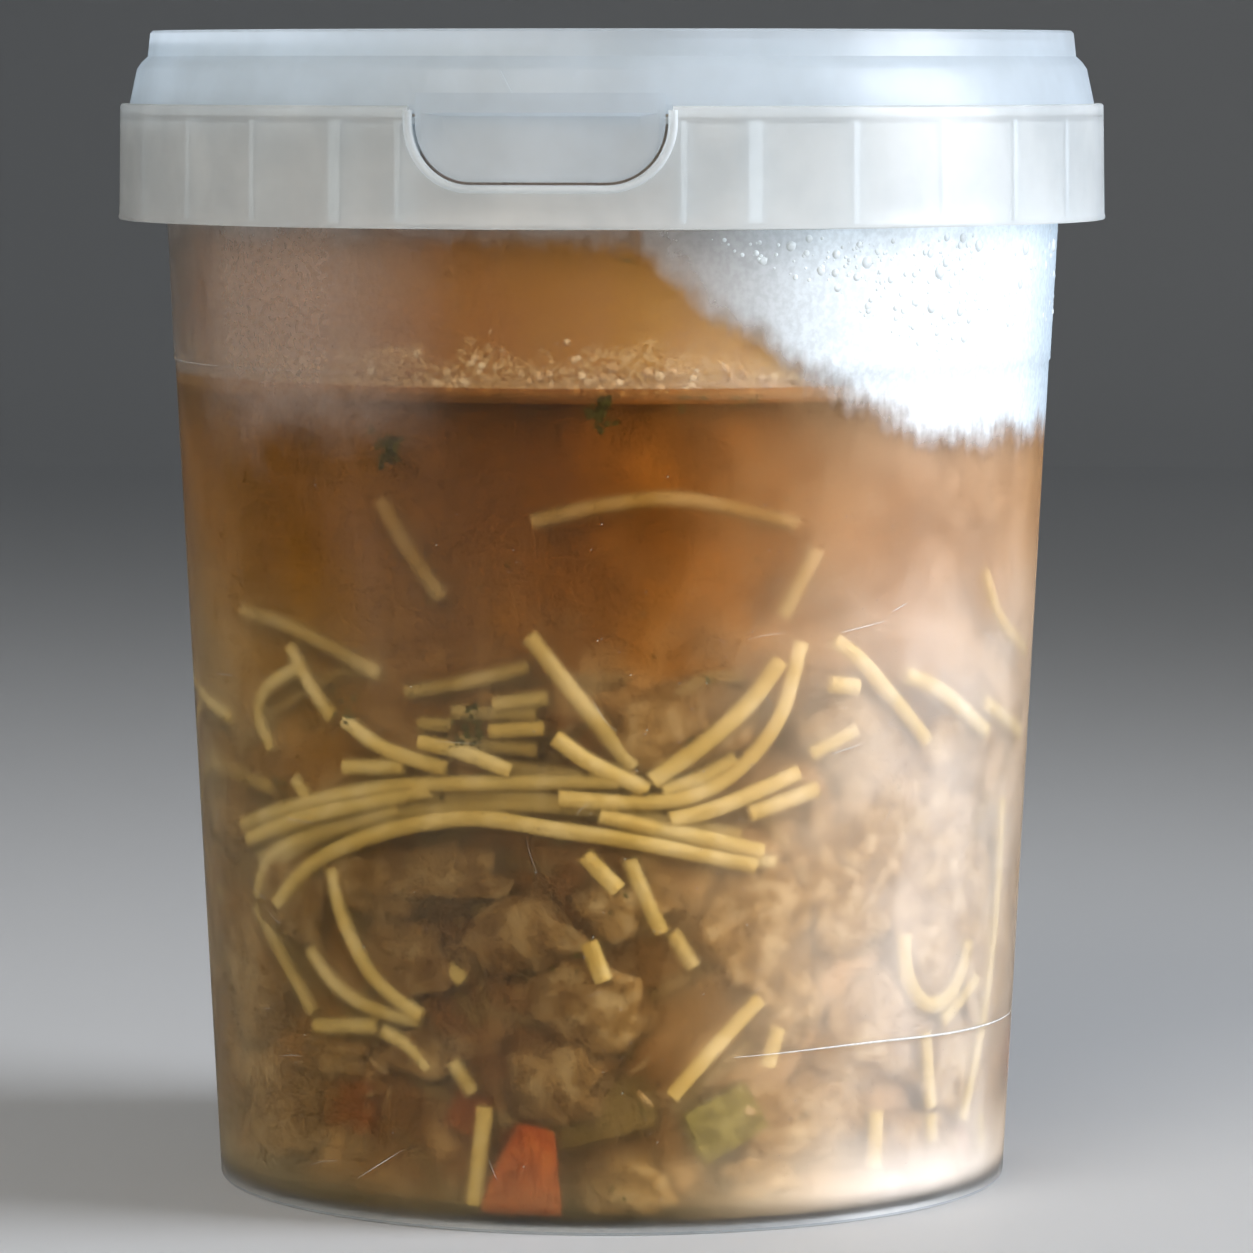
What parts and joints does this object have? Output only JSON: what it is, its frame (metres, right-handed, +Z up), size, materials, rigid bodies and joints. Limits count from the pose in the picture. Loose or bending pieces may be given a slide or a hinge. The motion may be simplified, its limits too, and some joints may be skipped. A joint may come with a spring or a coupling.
{
  "type": "chicken noodle soup",
  "caption": "Chicken noodle soup in a clear round plastic tub with a ribbed collar and a press-on lid with a finger tab.",
  "frame": {"origin": "centre of the foot ring, on the surface that the tub stands on", "axes": "+Z up along the tub's axis; -Y towards the finger tab, the front; +X to the right seen from the front"},
  "size_m": [0.1182, 0.1182, 0.1375],
  "materials": {
    "tub_plastic": "satin translucent, natural",
    "lid_plastic": "frosted translucent, natural",
    "soup": "wet"
  },
  "bodies": {
    "root": {"tub": "tub_plastic", "lid": "lid_plastic", "soup": "soup"}
  },
  "joints": []
}
